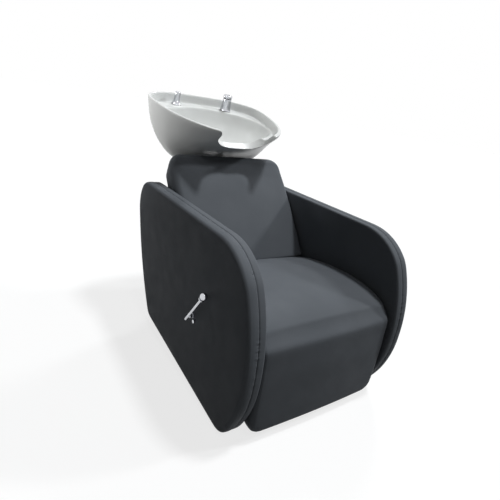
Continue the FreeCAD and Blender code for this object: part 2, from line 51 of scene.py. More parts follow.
PANEL_STEPS = [
    ((235, 627),),
    ((128, 599), (62, 540)),
    ((14, 408), (0, 269)),
    ((17, 140), (62, 38)),
    ((84, 14), (120, 6)),
    ((735, 55),),
    ((763, 66), (779, 88)),
    ((873, 272), (932, 470)),
    ((933, 556), (905, 605)),
    ((876, 622), PANEL_START),
]
PANEL_POINTS = 840
PANEL_SOFTENING = 40
PANEL_SWELL = 1.5
PANEL_RIPPLE, PANEL_RIPPLE_SIZE = 0.9, 140.0
FACE_SHARES = (0.04, 0.1, 0.22, 0.4, 0.6, 0.8, 0.93)
CROWN_ROLL = 13.0
INNER_ROLL = 8.0
CROWN_STATIONS = [(330, -0.4), (326, -0.8), (322, -0.9)]
SEAM_X = 310.0
SEAM_STATIONS = [
    (8, -0.7), (5, -0.5), (2.6, 0.0), (1.2, 0.8), (0, 1.9),
    (-1.2, 0.8), (-2.6, 0.0), (-5, -0.3), (-7.5, -0.3),
]
GATHER_X, GATHER_WIDTH = SEAM_X + 2, 6.5
STITCH_COUNT = 400
STITCH_X = SEAM_X + 4.5
STITCH_INSET = 0.1
STITCH_RADIUS = 0.55
STITCH_FROM, STITCH_TO = 0.14, 0.86
STITCH_SIDES = 6
STITCH_STEPS = [(0, -0.8, 0.4), (0.2, 0.25, 0.9), (0.5, 0.6, 1.0), (0.8, 0.25, 0.9), (1, -0.8, 0.4)]

SEAT_HALF = 277.0
SEAT_BOTTOM = 335.0
SEAT_PROFILE = [
    (618, 338), (612, 345), (597, 353), (552, 367), (507, 381), (457, 396), (407, 407), (360, 414.5),
    (313, 419.5), (270, 423), (231, 424), (190, 423), (153, 420), (122, 414.5),
    (96, 407), (75, 398.5), (64, 392.5),
    (57, 388.5), (52, 384), (47.5, 377.5), (41, 369), (33, 359), (26, 350.5), (22, 344.5), (19.5, 338),
    (18.5, 330), (17.5, 315), (16.5, 290), (15, 255), (14.5, 225), (15, 175), (15.5, 120), (16.5, 78),
    (18, 50), (22, 36), (32, 29.5), (46, 28.5), (58, 30.5),
    (64, 44), (64, 180), (64, 315), (82, 334), (300, 336), (560, 336), (606, 336),
]
SEAT_POINTS, SEAT_SOFTENING = 480, 2
SEAT_ROUND = 15.0
SEAT_CROWN, NOSE_CROWN = 12.0, 4.0
CROWN_FROM, CROWN_TO = 60.0, 480.0
SEAT_EDGE_DROP = 3.0
SEAT_RISE = 50.0
SKIRT_BACK = 62.0
SKIRT_SWELL = 0.18
SKIRT_SWELL_TOP, SKIRT_SWELL_FADE = 380.0, 38.0
SKIRT_SWELL_BACK = 90.0
SKIRT_CORNER = 45.0
SKIRT_CORNER_TOP, SKIRT_FOOT = 150.0, 28.0

BACK_HALF = 276.0
BACK_FOOT = (573.0, 392.0)
BACK_POINTS, BACK_SOFTENING = 240, 6
BACK_ROUND = 24.0
BACK_CORNER = 58.0
BACK_REACH = 420.0
BACK_START = (512.0, 383.0)
BACK_STEPS = [
    ((646, 567), (792, 730)),
    ((822, 751), (857, 722)),
    ((876, 678),),
    ((643, 380),),
    (BACK_START,),
]

RIM_FRONT = (670.0, 871.0)
RIM_SLOPE = 0.21
BOWL_HALF = 291.0
DRAIN_BACK = 972.0
DRAIN_R = 22.0
DRAIN_COLLAR = 6.0
BOWL_BASE, BASE_FLAT = 232.0, 55.0
BASIN_FLOOR = 190.0
BASIN_EDGE = 39.0
NOTCH_HALF = 122.0
NOTCH_DEPTH = 75.0
NOTCH_IN = 780.0
NOTCH_FALL = 0.5
NOTCH_ROUND = 75.0
NOTCH_BLEND_IN, NOTCH_BLEND_OUT = 3.0, 5.0
NOTCH_LOWEST_LIP, NOTCH_LOWEST_BASIN = 150.0, 100.0
RECESS_STEEPNESS = 5.0
TAP_SIDE, TAP_BACK = 130.0, 1126.0
DECK_DEPTH = 38.0
INDEX_HEIGHT = 53.0
MARK_FORWARD = 7.5

# Camera, as fitted to the view, in metres and degrees.
CAMERA_PLACE = (-0.8881, -1.1296, 0.9961)
CAMERA_AZIMUTH, CAMERA_PITCH, CAMERA_ROLL = -35.87, 20.80, 9.0
CAMERA_LENS, CAMERA_SENSOR = 28.08, 36.0

# Light levels and colours.
LAMP_TINT = (0.96, 0.985, 1.0)
SPOT_BLEND = 0.6
WORLD_TINT, WORLD_LEVEL = (1.0, 0.98, 0.92, 1), 0.075
WHITE = (1, 1, 1, 1)
FLOOR_SIZE = 60
FLOOR_TO_OBJECT, FLOOR_TO_EYE = (0.10, 0.10, 0.10, 1), (0.26, 0.26, 0.26, 1)
FLOOR_GLOW = 0.76


def at(x, back, height):
    """Place in the shared frame, in metres."""
    return Vector((x, back - ORIGIN_BACK, height)) * MM


# Plane curves, as lists of (back, height) points.
def arc(a, b, c, count=14):
    """Points after a, up to c, on the circle through a, b and c."""
    a, b, c = Vector(a), Vector(b), Vector(c)
    d = 2 * (a.x * (b.y - c.y) + b.x * (c.y - a.y) + c.x * (a.y - b.y))
    sq = [p.length_squared for p in (a, b, c)]
    ux = (sq[0] * (b.y - c.y) + sq[1] * (c.y - a.y) + sq[2] * (a.y - b.y)) / d
    uy = (sq[0] * (c.x - b.x) + sq[1] * (a.x - c.x) + sq[2] * (b.x - a.x)) / d
    centre = Vector((ux, uy))
    first = math.atan2(a.y - uy, a.x - ux)
    turn = math.atan2(c.y - uy, c.x - ux) - first
    middle = (math.atan2(b.y - uy, b.x - ux) - first) % (2 * math.pi)
    turn %= 2 * math.pi
    if middle > turn:
        turn -= 2 * math.pi
    radius = (a - centre).length
    angles = [first + turn * (i + 1) / count for i in range(count)]
    return [(ux + radius * math.cos(t), uy + radius * math.sin(t)) for t in angles]


def trace(start, steps):
    """Closed outline of lines, with one point a step, and arcs, with two."""
    points = [start]
    for step in steps:
        points += arc(points[-1], *step) if len(step) == 2 else list(step)
    return points[:-1]


def spline(points, each=10):
    """Closed smooth curve through the points."""
    made = []
    count = len(points)
    for i in range(count):
        p0, p1, p2, p3 = (Vector(points[(i + k) % count]) for k in (-1, 0, 1, 2))
        for k in range(each):
            t = k / each
            q = 0.5 * ((2 * p1) + (p2 - p0) * t + (2 * p0 - 5 * p1 + 4 * p2 - p3) * t * t
                       + (3 * p1 - p0 - 3 * p2 + p3) * t ** 3)
            made.append((q.x, q.y))
    return made


def spaced(points, count):
    """The closed curve again, with evenly spaced points."""
    loop = [Vector(p) for p in points] + [Vector(points[0])]
    reach = [0.0]
    for a, b in zip(loop, loop[1:]):
        reach.append(reach[-1] + (b - a).length)
    made, k = [], 0
    for i in range(count):
        s = reach[-1] * i / count
        while reach[k + 1] < s:
            k += 1
        t = (s - reach[k]) / (reach[k + 1] - reach[k])
        p = loop[k].lerp(loop[k + 1], t)
        made.append((p.x, p.y))
    return made


def softened(points, rounds):
    """The closed curve with its corners eased."""
    count = len(points)
    for _ in range(rounds):
        eased = []
        for i in range(count):
            before, here, after = (Vector(points[(i + k) % count]) for k in (-1, 0, 1))
            eased.append(tuple((before + 2 * here + after) / 4))
        points = eased
    return points


def inset(points, depth):
    """The closed curve moved inwards."""
    count = len(points)
    area = sum(points[i - 1][0] * points[i][1] - points[i][0] * points[i - 1][1] for i in range(count))
    depth = math.copysign(1, area) * depth
    made = []
    for i in range(count):
        along = (Vector(points[(i + 1) % count]) - Vector(points[i - 1])).normalized()
        made.append((points[i][0] - along.y * depth, points[i][1] + along.x * depth))
    return made


def drawn_to(points, centre, share):
    """The curve shrunk towards a centre."""
    return [tuple(Vector(p).lerp(Vector(centre), share)) for p in points]


def smooth_step(low, high, value):
    t = min(1.0, max(0.0, (value - low) / (high - low)))
    return t * t * (3 - 2 * t)


def ripple(point, size, seed=0.0):
    """Slow unevenness at a point in millimetres."""
    return noise.noise(Vector((point[0] / size + seed, point[1] / size - seed, point[2] / size + 2 * seed)))


# Meshes.
def loft(rings, closed=False):
    """Skin over rings of equal count. An open skin gets a face at both ends."""
    count = len(rings[0])
    verts = [p for ring in rings for p in ring]
    faces = []
    for i in range(len(rings) if closed else len(rings) - 1):
        a, b = i * count, (i + 1) % len(rings) * count
        for j in range(count):
            k = (j + 1) % count
            faces.append((a + j, a + k, b + k, b + j))
    if not closed:
        faces.append(tuple(range(count)))
        faces.append(tuple(range(len(verts) - count, len(verts))))
    return verts, faces


def piece(name, skin, body, slot, *nodes):
    """Object from a skin. It rides a body and stands for the nodes named."""
    mesh = bpy.data.meshes.new(name)
    mesh.from_pydata(skin[0], [], skin[1])
    work = bmesh.new()
    work.from_mesh(mesh)
    bmesh.ops.recalc_face_normals(work, faces=work.faces)
    work.to_mesh(mesh)
    work.free()
    mesh.shade_smooth()
    obj = bpy.data.objects.new(name, mesh)
    bpy.context.scene.collection.objects.link(obj)
    mesh.materials.append(finishes[slot])
    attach(obj, body)
    if nodes:
        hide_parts(*nodes)
    return obj


def turned(profile, start, axis, sides=48, closed=False):
    """Skin of a turned part from (along, radius) pairs in millimetres. A closed one is a ring."""
    axis = axis.normalized()
    across = axis.orthogonal().normalized()
    other = axis.cross(across)
    rings = []
    for along, radius in profile:
        centre = start + axis * along * MM
        turn = [2 * math.pi * i / sides for i in range(sides)]
        rings.append([centre + (across * math.cos(t) + other * math.sin(t)) * radius * MM for t in turn])
    return loft(rings, closed)


def joined(*skins):
    """Several skins as one."""
    verts, faces = [], []
    for skin in skins:
        first = len(verts)
        verts += skin[0]
        faces += [tuple(i + first for i in face) for face in skin[1]]
    return verts, faces


def rounded(profile, radius=1.2):
    """Profile of a turned part with its corners cut to small rounds."""
    made = [profile[0]]
    for a, b, c in zip(profile, profile[1:], profile[2:]):
        a, b, c = Vector(a), Vector(b), Vector(c)
        before, after = (a - b), (c - b)
        r = min(radius, before.length / 2.2, after.length / 2.2)
        p, q = b + before.normalized() * r, b + after.normalized() * r
        for t in (0.0, 0.25, 0.5, 0.75, 1.0):
            made.append(tuple(p.lerp(b, t).lerp(b.lerp(q, t), t)))
    made.append(profile[-1])
    return made


# Finishes.
class Finish:
    """A Principled finish that is built up from noise in the piece's own coordinates."""

    def __init__(self, name, metal=0.0):
        self.material = bpy.data.materials.new(name)
        self.material.use_nodes = True
        self.tree = self.material.node_tree
        self.shader = self.tree.nodes["Principled BSDF"]
        self.shader.inputs["Metallic"].default_value = metal
        self.place = self.tree.nodes.new("ShaderNodeTexCoord").outputs["Object"]

    def node(self, kind, source=None, socket=0, **values):
        made = self.tree.nodes.new("ShaderNode" + kind)
        for key, value in values.items():
            made.inputs[key.replace("_", " ")].default_value = value
        if source is not None:
            self.tree.links.new(source, made.inputs[socket])
        return made

    def noise(self, scale, detail=3.0, stretch=(1, 1, 1)):
        place = self.node("Mapping", self.place, 0, Scale=stretch).outputs[0]
        return self.node("TexNoise", place, "Vector", Scale=scale, Detail=detail).outputs["Fac"]

    def cells(self, scale):
        return self.node("TexVoronoi", self.place, "Vector", Scale=scale).outputs["Distance"]

    def colour(self, value, dark, light):
        ramp = self.node("ValToRGB", value)
        ramp.color_ramp.elements[0].position = 0.3
        ramp.color_ramp.elements[1].position = 0.7
        ramp.color_ramp.elements[0].color = (*dark, 1)
        ramp.color_ramp.elements[1].color = (*light, 1)
        self.tree.links.new(ramp.outputs[0], self.shader.inputs["Base Color"])

    def rough(self, value, low, high):
        ranged = self.node("MapRange", value, 0, From_Min=0.3, From_Max=0.7, To_Min=low, To_Max=high)
        self.tree.links.new(ranged.outputs[0], self.shader.inputs["Roughness"])

    def bump(self, height, strength, distance):
        made = self.node("Bump", height, "Height", Strength=strength, Distance=distance)
        links = self.shader.inputs["Normal"].links
        if links:
            self.tree.links.new(links[0].from_socket, made.inputs["Normal"])
        self.tree.links.new(made.outputs[0], self.shader.inputs["Normal"])


def leather_finish():
    made = Finish("leather")
    made.colour(made.noise(6.0), (0.110, 0.120, 0.134), (0.125, 0.135, 0.150))
    made.shader.inputs["Specular IOR Level"].default_value = 0.04
    made.rough(made.noise(18.0), 0.52, 0.62)
    made.bump(made.noise(26.0, 4.0), 0.10, 0.004)
    made.bump(made.cells(640.0), 0.22, 0.0005)
    return made.material


def ceramic_finish():
    made = Finish("ceramic")
    made.colour(made.noise(4.0), (0.72, 0.73, 0.72), (0.76, 0.77, 0.76))
    made.shader.inputs["Specular IOR Level"].default_value = 0.06
    made.rough(made.noise(9.0), 0.14, 0.21)
    made.bump(made.noise(30.0, 1.0), 0.03, 0.002)
    return made.material


def metal_finish(name, dark, light, low, high, scale=40.0, stretch=(1, 1, 1)):
    made = Finish(name, 1.0)
    value = made.noise(scale, 3.0, stretch)
    made.colour(value, dark, light)
    made.rough(value, low, high)
    return made.material


def coated_finish(name, dark, light, low, high, grain, depth):
    made = Finish(name)
    made.colour(made.noise(12.0), dark, light)
    made.rough(made.noise(35.0), low, high)
    made.bump(made.noise(grain, 2.0), 0.35, depth)
    return made.material


def plywood_finish():
    made = Finish("plywood")
    made.colour(made.noise(22.0, 6.0, (6, 0.5, 1)), (0.46, 0.33, 0.20), (0.64, 0.49, 0.33))
    made.rough(made.noise(30.0), 0.50, 0.62)
    made.bump(made.noise(160.0, 3.0, (6, 0.5, 1)), 0.2, 0.0006)
    return made.material


finishes = {
    "leather": leather_finish(),
    "ceramic": ceramic_finish(),
    "chrome": metal_finish("chrome", (0.54, 0.55, 0.58), (0.62, 0.63, 0.66), 0.12, 0.20),
    "zinc_steel": metal_finish(
        "zinc_steel", (0.46, 0.47, 0.49), (0.60, 0.61, 0.63), 0.28, 0.42, 55.0, (1, 8, 1)),
    "brass": metal_finish("brass", (0.58, 0.45, 0.20), (0.70, 0.56, 0.28), 0.22, 0.34),
    "plywood": plywood_finish(),
    "frame_paint": coated_finish(
        "frame_paint", (0.022, 0.022, 0.024), (0.032, 0.032, 0.034), 0.45, 0.58, 900.0, 0.0003),
    "rubber": coated_finish(
        "rubber", (0.022, 0.022, 0.022), (0.034, 0.034, 0.034), 0.70, 0.85, 500.0, 0.0003),
    "cover_plastic": coated_finish(
        "cover_plastic", (0.030, 0.030, 0.032), (0.042, 0.042, 0.044), 0.5, 0.62, 700.0, 0.0004),
}
thread = coated_finish("thread", (0.035, 0.036, 0.040), (0.055, 0.057, 0.062), 0.55, 0.70, 1500.0, 0.0002)
# Near-black finish: real marks on the mixer, and painted shade on the ring in the gap under its cap.
marks_and_gap_shade = coated_finish(
    "marks_and_gap_shade", (0.012, 0.012, 0.014), (0.020, 0.020, 0.022), 0.30, 0.40, 600.0, 0.0002)

for part in frame["record"]["subparts"]:
    shown = frame["nodes"][part["node"]]
    shown.data.materials.clear()
    shown.data.materials.append(finishes[part["material_slot"]])


# Side panels: soft rolls at both edges, a closing seam along the crown, and its stitches.
panel_line = softened(spaced(trace(PANEL_START, PANEL_STEPS), PANEL_POINTS), PANEL_SOFTENING)


def panel_stations():
    """(X, inset) pairs round the panel's edge, from its outer face to its inner face."""
    made = []
    for i in range(8):
        t = math.radians(90 * i / 7)
        made.append((OUTER - CROWN_ROLL * (1 - math.cos(t)), CROWN_ROLL * (1 - math.sin(t))))
    made += CROWN_STATIONS
    made += [(SEAM_X + dx, depth) for dx, depth in SEAM_STATIONS]
    for i in range(6):
        t = math.radians(90 - 90 * i / 5)
        made.append((LINING_FACE + INNER_ROLL * (1 - math.cos(t)), INNER_ROLL * (1 - math.sin(t))))
    return made


def pucker(x, i):
    """Small gathers that the seam draws into the leather."""
    near = math.exp(-((x - GATHER_X) / GATHER_WIDTH) ** 2)
    pull = 1.5 + 2.2 * noise.noise(Vector((i * 0.017, 8.0, 1.0)))
    fine = noise.noise(Vector((i * 0.41, 0.0, 3.0)))
    slow = noise.noise(Vector((i * 0.115, 5.0, 0.0)))
    return near * (pull * fine + 0.8 * slow)


def panel(name, side, *nodes):
    """One side panel's upholstery, from its outer face over the edge to its inner face."""
    rings = []
    stations = panel_stations()
    face = inset(panel_line, stations[0][1])
    for share in reversed(FACE_SHARES):
        swell = PANEL_SWELL * (1 - (1 - share) ** 6)
        ring = []
        for p in drawn_to(face, PANEL_CENTRE, share):
            uneven = PANEL_RIPPLE * ripple((0, *p), PANEL_RIPPLE_SIZE, side)
            ring.append(at(side * (OUTER + swell + uneven), *p))
        rings.append(ring)
    for x, depth in stations:
        line = inset(panel_line, depth)
        pairs = enumerate(zip(line, inset(line, 1.0)))
        moved = [Vector(p).lerp(Vector(q), pucker(x, i)) for i, (p, q) in pairs]
        rings.append([at(side * x, *p) for p in moved])
    face = inset(panel_line, stations[-1][1])
    for share in FACE_SHARES:
        rings.append([at(side * LINING_FACE, *p) for p in drawn_to(face, PANEL_CENTRE, share)])
    made = piece(name, loft(rings), "frame", "leather", *nodes)
    return made


def stitch(a, b, out, radius):
    """Skin of one stitch that dips into the leather at both ends."""
    axis = (b - a).normalized()
    side = axis.cross(out)
    rings = []
    for t, lift, share in STITCH_STEPS:
        centre = a.lerp(b, t) + out * lift * radius
        turn = [2 * math.pi * i / STITCH_SIDES for i in range(STITCH_SIDES)]
        rings.append([centre + (side * math.cos(u) + out * math.sin(u)) * radius * share for u in turn])
    return loft(rings)


def panel_stitches(name, side):
    """The row of stitches beside one panel's seam."""
    line = inset(spaced(panel_line, STITCH_COUNT), STITCH_INSET)
    skins = []
    for i in range(len(line)):
        a, b = Vector(line[i]), Vector(line[(i + 1) % len(line)])
        along = (b - a).normalized()
        out = Vector((0, along.y, -along.x))
        start = at(side * STITCH_X, *a.lerp(b, STITCH_FROM))
        end = at(side * STITCH_X, *a.lerp(b, STITCH_TO))
        skins.append(stitch(start, end, out, STITCH_RADIUS * MM))
    made = piece(name, joined(*skins), "frame", "leather")
    made.data.materials[0] = thread
    return made


for name, side in (("left", 1), ("right", -1)):
    panel(name + "_panel_upholstery", side, name + "_side_pad", name + "_side_lining")
    panel_stitches(name + "_panel_stitches", side)


# Seat and back cushions: a profile carried across the chair, with rounded sides.
def cushion_rings(half, radius, profile, move, core=36):
    """Rings across the chair. Move shifts a profile's point by its share of the half width."""
    stations = []
    for i in range(7):
        t = math.radians(90 - 15 * i)
        stations.append((-(half - radius) - radius * math.sin(t), radius * (1 - math.cos(t))))
    width = half - radius
    stations += [(-width + 2 * width * i / core, 0.0) for i in range(1, core)]
    stations += [(-x, depth) for x, depth in reversed(stations[:7])]
    rings = []
    for x, depth in stations:
        moved = [move(abs(x) / half, p) for p in profile]
        rings.append([at(x, *p) for p in inset(moved, depth)])
    return rings


def swollen(rings, size, amount, seed):
    """Slight unevenness of stuffed leather."""
    made = []
    for ring in rings:
        made.append([p + Vector((0, -0.6, 0.8)) * (amount * MM * ripple(p / MM, size, seed)) for p in ring])
    return made


def seat_move(share, point):
    """Crown of the seat, swell of the skirt and its round lower corners."""
    back, height = point
    low = min(1.0, max(0.0, (SKIRT_SWELL_TOP - height) / SKIRT_SWELL_FADE))
    swell = 1 + SKIRT_SWELL * (1 - share ** 2) * low * smooth_step(SKIRT_SWELL_BACK, 0, back)
    if height > SEAT_BOTTOM + 3:
        rise = min(1.0, (height - SEAT_BOTTOM) / SEAT_RISE)
        crown = NOSE_CROWN + (SEAT_CROWN - NOSE_CROWN) * smooth_step(CROWN_FROM, CROWN_TO, back)
        height += rise * (crown * (1 - share ** 2) - SEAT_EDGE_DROP * share ** 8)
    back = SKIRT_BACK - (SKIRT_BACK - back) * swell if back < SKIRT_BACK else back
    side = max(0.0, share * SEAT_HALF - SEAT_HALF + SKIRT_CORNER)
    lift = SKIRT_CORNER - math.sqrt(SKIRT_CORNER ** 2 - min(side, 0.999 * SKIRT_CORNER) ** 2)
    return back, height + lift * smooth_step(SKIRT_CORNER_TOP, SKIRT_FOOT, height)


def back_move(share, point):
    """Round upper corners of the back, drawn towards its foot."""
    side = max(0.0, share * BACK_HALF - BACK_HALF + BACK_CORNER)
    drop = BACK_CORNER - math.sqrt(BACK_CORNER ** 2 - min(side, 0.99 * BACK_CORNER) ** 2)
    k = 1 - drop / BACK_REACH
    return tuple(Vector(BACK_FOOT) + (Vector(point) - Vector(BACK_FOOT)) * k)


seat_line = softened(spaced(spline(SEAT_PROFILE), SEAT_POINTS), SEAT_SOFTENING)
seat_rings = swollen(cushion_rings(SEAT_HALF, SEAT_ROUND, seat_line, seat_move), 110.0, 1.6, 4.0)
seat = piece("seat_upholstery", loft(seat_rings), "seat", "leather", "seat_cushion", "seat_skirt")

back_line = softened(spaced(trace(BACK_START, BACK_STEPS), BACK_POINTS), BACK_SOFTENING)
back_rings = swollen(cushion_rings(BACK_HALF, BACK_ROUND, back_line, back_move), 120.0, 1.5, 9.0)
back = piece("back_upholstery", loft(back_rings), "frame", "leather", "back_cushion")


# Ceramic bowl: one closed skin from the drain, up the outer wall, over the rim and down the basin.
def rim_height(back):
    """Height of the sloping rim plane."""
    return RIM_FRONT[1] + RIM_SLOPE * (back - RIM_FRONT[0])


FRONT_X = [
    0, 24, 44, 58, 71, 82, 92, 100.5, 107.5, 113, 117, 120, 123, 127, 135, 149, 168, 190, 214, 238, 260, 278,
]
meridians = [math.atan2(-math.sqrt(1 - (x / BOWL_HALF) ** 2), x / BOWL_HALF) for x in FRONT_X]
meridians += [math.radians(180 * i / 26) for i in range(0, 27)]
meridians += [-math.pi - t for t in reversed(meridians[1:len(FRONT_X)])]


def egg(turn, front, wide, rear, half, rear_square=2.0, front_square=2.0, spread=1.0):
    """(X, back) on an egg-shaped ring. Spread 1 keeps the rim's X near the front."""
    share = math.cos(turn)
    if math.sin(turn) > 0:
        power = 2 / rear_square
        x = half * math.copysign(abs(share) ** power, share)
        return x, wide + (rear - wide) * abs(math.sin(turn)) ** power
    rim_x = BOWL_HALF * share
    keep = spread * (1 - smooth_step(150, BOWL_HALF, abs(rim_x)))
    x = rim_x * (keep + (1 - keep) * half / BOWL_HALF)
    inside = max(0.0, 1 - (abs(x) / half) ** front_square)
    return x, wide - (wide - front) * inside ** (1 / front_square)


def between(a, b, t):
    return tuple(p + (q - p) * t for p, q in zip(a, b))


# Depth below the rim plane, then the egg: front, widest place, rear, half width, rear and front squareness.
OUTER_KEYS = [
    (0, (628, 1007, 1178, 291, 2.8, 2.0)),
    (16, (636, 1007, 1177.5, 290.5, 2.8, 2.0)),
    (60, (702, 1007, 1174, 287, 2.8, 2.0)),
    (112, (784, 1000, 1158, 276, 2.7, 2.2)),
    (160, (858, 992, 1124, 256, 2.6, 2.6)),
    (204, (900, 985, 1084, 222, 2.4, 2.6)),
    (232, (916, 980, 1052, 180, 2.2, 2.4)),
]
BASIN_KEYS = [
    (30, (722, 940, 1122, 262, 2.0, 2.0)),
    (42, (742, 940, 1114, 254, 2.0, 2.0)),
    (100, (812, 945, 1098, 230, 2.0, 2.0)),
    (152, (882, 960, 1068, 188, 2.0, 2.0)),
    (190, (920, 972, 1030, 110, 2.0, 2.0)),
]


def keyed(keys, depth):
    """The egg at a depth, between the keys."""
    for (a, first), (b, second) in zip(keys, keys[1:]):
        if depth <= b:
            return between(first, second, (depth - a) / (b - a))
    return keys[-1][1]


def wall(keys, turn, depth, spread=1.0):
    """Point of a wall at one meridian and depth."""
    x, back = egg(turn, *keyed(keys, depth), spread)
    return Vector((x, back, rim_height(back) - depth))


notch_height = rim_height(NOTCH_IN) - NOTCH_DEPTH


def notch_rise(x):
    """Height of the notch's rounded lower corners above its floor."""
    side = min(NOTCH_ROUND, max(0.0, abs(x) - NOTCH_HALF + NOTCH_ROUND))
    return NOTCH_ROUND - math.sqrt(NOTCH_ROUND ** 2 - side ** 2)


def notch_surface(x, back):
    """Height of the neck notch, which falls towards the front."""
    return notch_height + notch_rise(x) + min(0.0, back - NOTCH_IN) * NOTCH_FALL


def recess_surface(back, recess):
    """Height of the deck, and of the steep wall in front of it."""
    return rim_height(back) - DECK_DEPTH + RECESS_STEEPNESS * max(0.0, recess - back)


def wall_meets_notch(keys, turn, low, high):
    """Depth at which a wall crosses the surface of the neck notch."""
    for _ in range(40):
        middle = (low + high) / 2
        p = wall(keys, turn, middle)
        low, high = (middle, high) if p.z > notch_surface(p.x, p.y) else (low, middle)
    return low


def bowl_column_of(turn):
    """Points of the bowl's section at one meridian, from the drain's underside to the basin's drain."""
    rim_x = BOWL_HALF * math.cos(turn)
    cut = 0.0
    if math.sin(turn) < 0:
        cut = 1 - smooth_step(NOTCH_HALF - NOTCH_BLEND_IN, NOTCH_HALF + NOTCH_BLEND_OUT, abs(rim_x))
    lip = wall_meets_notch(OUTER_KEYS, turn, 0, NOTCH_LOWEST_LIP) if cut else 0.0
    inner = wall_meets_notch(BASIN_KEYS, turn, BASIN_EDGE, NOTCH_LOWEST_BASIN) if cut else BASIN_EDGE

    def drain(depth, radius):
        x, back = radius * math.cos(turn), DRAIN_BACK + radius * math.sin(turn)
        return Vector((x, back, rim_height(back) - depth))

    points = [drain(BOWL_BASE, radius) for radius in (DRAIN_R, DRAIN_R + DRAIN_COLLAR, BASE_FLAT)]
    for share in (0.8, 0.95):
        points.append(drain(BOWL_BASE, BASE_FLAT).lerp(wall(OUTER_KEYS, turn, BOWL_BASE, 0.0), share))
    for depth in (230, 222, 204, 182, 160, 136):
        points.append(wall(OUTER_KEYS, turn, depth, 0.0 if depth > 150 else 0.5))
    for depth in (112, 88, 64, 42, 22, 10, 4.5):
        sunk = lip + 2.5 + depth / 112 * (109.5 - lip)
        points.append(wall(OUTER_KEYS, turn, depth + (sunk - depth) * cut))
    rim = [
        (1.2, (629.5, 1007, 1177, 290, 2.8, 2.0)),
        (-1.0, (633, 1007, 1174.5, 287.5, 2.8, 2.0)),
        (-1.0, (645, 1007, 1169, 282, 2.8, 2.0)),
        (1.2, (650, 1007, 1166.5, 279.5, 2.8, 2.0)),
        (6, (654, 1007, 1165, 278, 2.8, 2.0)),
        (20, (668, 1007, 1163.5, 275.5, 2.8, 2.0)),
        (32, (679, 1007, 1162, 273, 2.8, 2.0)),
        (37.2, (685, 1006, 1159, 270.5, 2.8, 2.0)),
        (38, (692, 1000, 1153, 267.5, 2.6, 2.0)),
        (38, (714, 968, 1130, 262, 2.2, 2.0)),
        (38, (726, 945, 1121, 260, 2.0, 2.0)),
        (39.2, (734, 940, 1117, 257.5, 2.0, 2.0)),
    ]
    outer_lip = wall(OUTER_KEYS, turn, lip)
    inner_lip = wall(BASIN_KEYS, turn, inner)
    recess = egg(turn, *rim[7][1])[1]
    shares = (0.0, 0.05, 0.12, 0.2, 0.3, 0.42, 0.55, 0.68, 0.8, 0.9, 0.96, 1.0)
    for (depth, key), share in zip(rim, shares):
        x, back = egg(turn, *key)
        p = Vector((x, back, rim_height(back) - depth))
        q = outer_lip.lerp(inner_lip, share)
        q.z = min(notch_surface(q.x, q.y), recess_surface(q.y, recess))
        points.append(p.lerp(q, cut))
    for depth in (43.5, 52, 70, 100, 128, 152, 172, 184):
        sunk = depth + (inner - DECK_DEPTH) * max(0.0, 1 - (depth - DECK_DEPTH) / 62) + 3
        spread = 1.0 if depth < 60 else 0.6 if depth < 90 else 0.0
        points.append(wall(BASIN_KEYS, turn, depth + (sunk - depth) * cut if depth < 100 else depth, spread))
    basin_end = wall(BASIN_KEYS, turn, BASIN_FLOOR - 1, 0.0)
    basin_drain = drain(BASIN_FLOOR, DRAIN_R)
    points += [basin_end.lerp(basin_drain, share) for share in (0.12, 0.5, 0.9)]
    points.append(basin_drain)
    return [at(p.x, p.y, p.z) for p in points]


columns = [bowl_column_of(turn) for turn in meridians]
bowl_rings = [list(ring) for ring in zip(*columns)]
bowl = piece("ceramic_bowl", loft(bowl_rings, closed=True), "bowl_unit", "ceramic", "bowl")
bowl.modifiers.new("smooth", "SUBSURF").levels = 2
bowl.modifiers["smooth"].render_levels = 2


# Taps on the bowl's deck.
tap_axis = Vector((0, -RIM_SLOPE, 1)).normalized()


def tap_foot(side):
    """Foot of a tap on the deck: the mixer at 1, the shower at -1."""
    return at(side * TAP_SIDE, TAP_BACK, rim_height(TAP_BACK) - DECK_DEPTH)


tap_front = Vector((0, -1, -RIM_SLOPE)).normalized()
mixer_profile = [
    (2, 0), (2, 26.5), (4.5, 26.5), (6, 25.4), (9, 24.3), (16, 23.2), (30, 22.1), (45, 21.4), (56, 21),
    (57.5, 20), (57.5, 0),
]
mixer_skin = turned(rounded(mixer_profile), tap_foot(1), tap_axis)
piece("mixer_shell", mixer_skin, "bowl_unit", "chrome", "mixer_body")
cap_profile = [(61, 0), (61, 20.6), (62, 21.8), (70, 21.8), (74, 20.6), (75.8, 17), (76.6, 8), (76.8, 0)]
cap_skin = turned(rounded(cap_profile), tap_foot(1), tap_axis)
piece("mixer_knob", cap_skin, "mixer_handle", "chrome", "mixer_cap")
# Ring in the gap between the mixer's body and cap, coloured near-black as painted shade of the gap.
neck_profile = [(57.8, 0), (57.8, 19.6), (61.3, 19.6), (61.3, 0)]
neck = piece("mixer_neck_gap_shade", turned(neck_profile, tap_foot(1), tap_axis), "mixer_handle", "chrome")
neck.data.materials[0] = marks_and_gap_shade
mark_profile = [(76, 0), (76, 4.4), (77.1, 3.9), (77.1, 0)]
mark_foot = tap_foot(1) + tap_front * MARK_FORWARD * MM
mark = piece("mixer_mark", turned(mark_profile, mark_foot, tap_axis, 24), "mixer_handle", "chrome")
mark.data.materials[0] = marks_and_gap_shade
index_profile = [(19.5, 0), (19.5, 2.4), (21.9, 2.0), (21.9, 0)]
index_way = (tap_front + Vector((-0.55, 0, 0))).normalized()
index_foot = tap_foot(1) + tap_axis * INDEX_HEIGHT * MM
index = piece("mixer_index", turned(index_profile, index_foot, index_way, 24), "bowl_unit", "chrome")
index.data.materials[0] = marks_and_gap_shade

